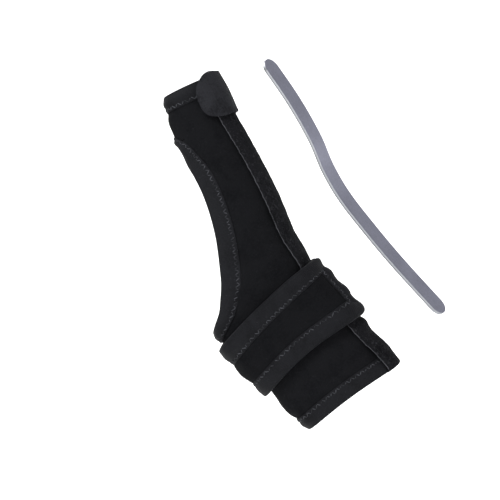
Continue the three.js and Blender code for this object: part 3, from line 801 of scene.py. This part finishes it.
def thumb_strap_place(j, i):
    half = thumb_strap_width / 2
    from_tip = half * (1 - np.cos(np.pi / 2 * np.arange(tip_columns + 1) / tip_columns))
    from_tip = np.maximum(from_tip, 0.01 * half)
    tip = angle_along(np.full(tip_columns + 1, thumb_strap_level), thumb_strap_tip, -from_tip)
    angles = np.concatenate([tip, np.linspace(tip[-1], thumb_strap_root, band_columns + 1)[1:]])
    from_tip = np.concatenate([from_tip, np.full(band_columns, half)])
    k = j.astype(int)
    angle = angles[k]
    rise = thumb_strap_rise(from_tip[k], angle, mix(-1, 1, i / thumb_strap_rows))
    z = thumb_strap_level + thumb_strap_tilt * np.sin(np.radians(angle)) + rise
    return cloth_point(z, angle, thumb_strap_lift(z, angle))


def hook_backing(name, length, width):
    """The flat back of hook tape: a close plain weave, greyer and a little shinier than the nap."""
    material = nap_cloth(name, (0.0076, 0.0078, 0.0094), (0.0165, 0.0169, 0.02), 0.0014, 0.00015)
    nodes, links = material.node_tree.nodes, material.node_tree.links
    shader = nodes["Principled BSDF"]
    shader.inputs["Roughness"].default_value = 0.75
    shader.inputs["Specular IOR Level"].default_value = 0.06
    own = nodes.new("ShaderNodeUVMap")
    size = nodes.new("ShaderNodeMapping")
    size.inputs["Scale"].default_value = (length, width, 1)
    links.new(own.outputs["UV"], size.inputs["Vector"])
    below = nodes["Bump"]
    for way in ("X", "Y"):
        yarns = nodes.new("ShaderNodeTexWave")
        yarns.bands_direction = way
        yarns.inputs["Scale"].default_value = 0.4
        yarns.inputs["Distortion"].default_value = 0.8
        yarns.inputs["Detail Scale"].default_value = 3
        relief = nodes.new("ShaderNodeBump")
        relief.inputs["Strength"].default_value = 0.45
        relief.inputs["Distance"].default_value = 0.0002
        links.new(size.outputs["Vector"], yarns.inputs["Vector"])
        links.new(yarns.outputs["Fac"], relief.inputs["Height"])
        links.new(below.outputs["Normal"], relief.inputs["Normal"])
        below = relief
    links.new(below.outputs["Normal"], shader.inputs["Normal"])
    return material


thumb_strap = woven_sheet("thumb_strap_band", tip_columns + band_columns, thumb_strap_rows, thumb_strap_place)
thicken(thumb_strap, thumb_strap_wall, 0.45)
thumb_strap.data.materials.append(hook_backing("hook_backing_cloth", 78, 24))
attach(thumb_strap, "root")
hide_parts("thumb_strap")

root_z = thumb_strap_level + np.linspace(2 - thumb_strap_width / 2, thumb_strap_width / 2 - 2, 60)
seam = sewn_seam("thumb_strap_end_seam", root_z, np.full(60, thumb_strap_root), False, 2.0, 4.5,
                 lambda z, angle: thumb_strap_lift(z, angle) + thumb_strap_wall)
seam.data.materials.append(thread)
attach(seam, "root")


# Stay: a bar of soft aluminium, punched with round ends and tumbled, then bent by hand to the thumb and
# wrist. It is shown taken out of its pocket.
stay_length, stay_width, stay_thickness, stay_bend = 169.0, 12.4, 1.7, 12.5
stay_place, stay_turn, stay_end = (68.9, -4.0, 47.0), math.radians(56), 78
round_steps, straight_steps, edge_lean = 16, 120, 0.35
# down the bar from its top, out
stay_rows = np.array([
    (0, 0.5), (0.16, 0.44), (0.3, 0.2), (0.4, -0.15), (0.5, -0.31), (0.62, -0.26), (0.78, -0.08), (1, 0.32),
])

round_half = stay_width / 2
round_run = round_half * (1 - np.cos(np.pi / 2 * np.arange(1, round_steps + 1) / round_steps))
straight = np.linspace(round_half, stay_length - round_half, straight_steps + 1)[1:-1]
down = np.concatenate([round_run, straight, stay_length - round_run[::-1]])
short = np.maximum(round_half - np.minimum(down, stay_length - down), 0)
half_widths = np.sqrt(round_half ** 2 - short ** 2)
bent_out = stay_bend * table_value(stay_rows, 1, down / stay_length)
middles = [
    Vector((stay_place[0] + out * math.sin(stay_turn), stay_place[1] - out * math.cos(stay_turn),
            stay_place[2] + stay_length / 2 - here)) / 1000
    for here, out in zip(down, bent_out)
]

behind = Vector((-math.sin(stay_turn), math.cos(stay_turn), 0))
bpy.ops.object.select_all(action="DESELECT")
first = half_widths[0] / 1000
bpy.ops.mesh.primitive_grid_add(x_subdivisions=12, y_subdivisions=1, size=2 * first,
                                location=middles[0] + behind * first, rotation=(0, 0, stay_turn))
stay = bpy.context.object
stay.name = stay.data.name = "aluminium_stay"
bpy.ops.object.mode_set(mode="EDIT")
bpy.ops.mesh.select_mode(type="VERT")
bpy.ops.mesh.select_all(action="DESELECT")
bpy.ops.object.mode_set(mode="OBJECT")
for vertex in stay.data.vertices:
    vertex.select = vertex.co.y > 0
bpy.ops.object.transform_apply(location=True, rotation=True, scale=False)
bpy.ops.object.mode_set(mode="EDIT")
bpy.ops.mesh.delete(type="VERT")
bpy.ops.mesh.select_all(action="SELECT")
for before, middle, narrow, wide in zip(middles, middles[1:], half_widths, half_widths[1:]):
    bpy.ops.mesh.extrude_region_move(TRANSFORM_OT_translate={"value": middle - before})
    bpy.ops.transform.resize(value=(wide / narrow,) * 3, center_override=middle)
bpy.ops.object.mode_set(mode="OBJECT")
thicken(stay, stay_thickness, 0.35, side=0)


def tumbled_metal(name, dark, light, low, high):
    """Tumbled soft aluminium: a satin grey with a fine grain and faint patches of more and less gloss."""
    material, nodes, links, shader = new_material(name)
    shader.inputs["Metallic"].default_value = 1
    place = nodes.new("ShaderNodeTexCoord")
    grain = nodes.new("ShaderNodeTexNoise")
    grain.inputs["Scale"].default_value = 900
    grain.inputs["Detail"].default_value = 4
    patches = nodes.new("ShaderNodeTexNoise")
    patches.inputs["Scale"].default_value = 70
    both = nodes.new("ShaderNodeMath")
    both.operation = "MULTIPLY_ADD"
    both.inputs[1].default_value = 0.5
    tone = nodes.new("ShaderNodeValToRGB")
    tone.color_ramp.elements[0].position = 0.45
    tone.color_ramp.elements[0].color = (*dark, 1)
    tone.color_ramp.elements[1].position = 1.05
    tone.color_ramp.elements[1].color = (*light, 1)
    gloss = nodes.new("ShaderNodeMapRange")
    gloss.inputs["To Min"].default_value = low
    gloss.inputs["To Max"].default_value = high
    bump = nodes.new("ShaderNodeBump")
    bump.inputs["Strength"].default_value = 0.25
    bump.inputs["Distance"].default_value = 0.00006
    links.new(place.outputs["Object"], grain.inputs["Vector"])
    links.new(place.outputs["Object"], patches.inputs["Vector"])
    links.new(patches.outputs["Fac"], both.inputs[0])
    links.new(grain.outputs["Fac"], both.inputs[2])
    links.new(both.outputs["Value"], tone.inputs["Fac"])
    links.new(both.outputs["Value"], gloss.inputs["Value"])
    links.new(grain.outputs["Fac"], bump.inputs["Height"])
    links.new(tone.outputs["Color"], shader.inputs["Base Color"])
    links.new(gloss.outputs["Result"], shader.inputs["Roughness"])
    links.new(bump.outputs["Normal"], shader.inputs["Normal"])
    return material


for finish in [
    ("tumbled_aluminium", (0.194, 0.198, 0.252), (0.268, 0.273, 0.335), 0.4, 0.6),
    # The second finish is paler than the face, a painted highlight for the lamp's light on the stay's edges.
    # It is also a little glossier.
    ("edge_painted_highlight", (0.235, 0.242, 0.262), (0.327, 0.334, 0.353), 0.3, 0.45),
]:
    stay.data.materials.append(tumbled_metal(*finish))
sideways = Vector((math.cos(stay_turn), math.sin(stay_turn), 0))
# Faces on the sides and round the ends take the paler finish, which is a painted highlight.
for face in stay.data.polygons:
    in_round_end = abs(face.center.z * 1000 - stay_place[2]) > stay_end
    if math.hypot(face.normal.dot(sideways), face.normal.z * in_round_end) > edge_lean:
        face.material_index = 1
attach(stay, "root")
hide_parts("stay")


# Studio: a plain pale floor that sweeps up behind, two soft lamps on the splint and one on the backdrop, a
# bright surround, and the camera at the photograph's angle, rolled so that the splint leans as it does there.
sweep_start, sweep_radius, floor_drop = 1.2, 1.2, 0.3
bpy.ops.object.select_all(action="DESELECT")
bpy.ops.mesh.primitive_grid_add(x_subdivisions=2, y_subdivisions=60, size=8, location=(0, 0, 0))
floor = bpy.context.object
floor.name = "floor"
for vertex in floor.data.vertices:
    past = vertex.co.y - sweep_start
    turn = min(max(past / sweep_radius, 0), math.pi / 2)
    if past > 0:
        beyond = max(past - sweep_radius * math.pi / 2, 0)
        vertex.co.y = sweep_start + sweep_radius * math.sin(turn)
        vertex.co.z = sweep_radius * (1 - math.cos(turn)) + beyond
    vertex.co.z -= floor_drop
bpy.ops.object.shade_smooth()
paper = bpy.data.materials.new("studio_paper")
paper.use_nodes = True
paper.node_tree.nodes["Principled BSDF"].inputs["Base Color"].default_value = (0.93, 0.93, 0.93, 1)
paper.node_tree.nodes["Principled BSDF"].inputs["Roughness"].default_value = 0.9
floor.data.materials.append(paper)

for name, place, aim, size, power in [
    ("key_lamp", (0.05, -1.35, 1.5), (0.01, 0, 0.05), 0.7, 34),
    ("fill_lamp", (-1.3, -1.1, 0.3), (0.01, 0, 0.05), 0.9, 9),
    ("backdrop_lamp", (0, 0.5, 1.6), (0, 2, 0.2), 1.5, 60),
]:
    bpy.ops.object.light_add(type="AREA", location=place)
    lamp = bpy.context.object
    lamp.name = name
    lamp.data.size = size
    lamp.data.energy = power
    lamp.rotation_euler = (Vector(aim) - Vector(place)).to_track_quat("-Z", "Y").to_euler()

world = bpy.data.worlds.new("surround")
world.use_nodes = True
world.node_tree.nodes["Background"].inputs["Color"].default_value = (1, 1, 1, 1)
world.node_tree.nodes["Background"].inputs["Strength"].default_value = 0.55
bpy.context.scene.world = world
bpy.context.scene.view_settings.view_transform = "Standard"

bpy.ops.object.camera_add(location=(0.0065, -1.1, 0.0523), rotation=(math.radians(90), math.radians(35.8), 0))
camera = bpy.context.object
camera.name = "camera"
camera.data.lens = 144
camera.data.sensor_width = 36
bpy.context.scene.camera = camera
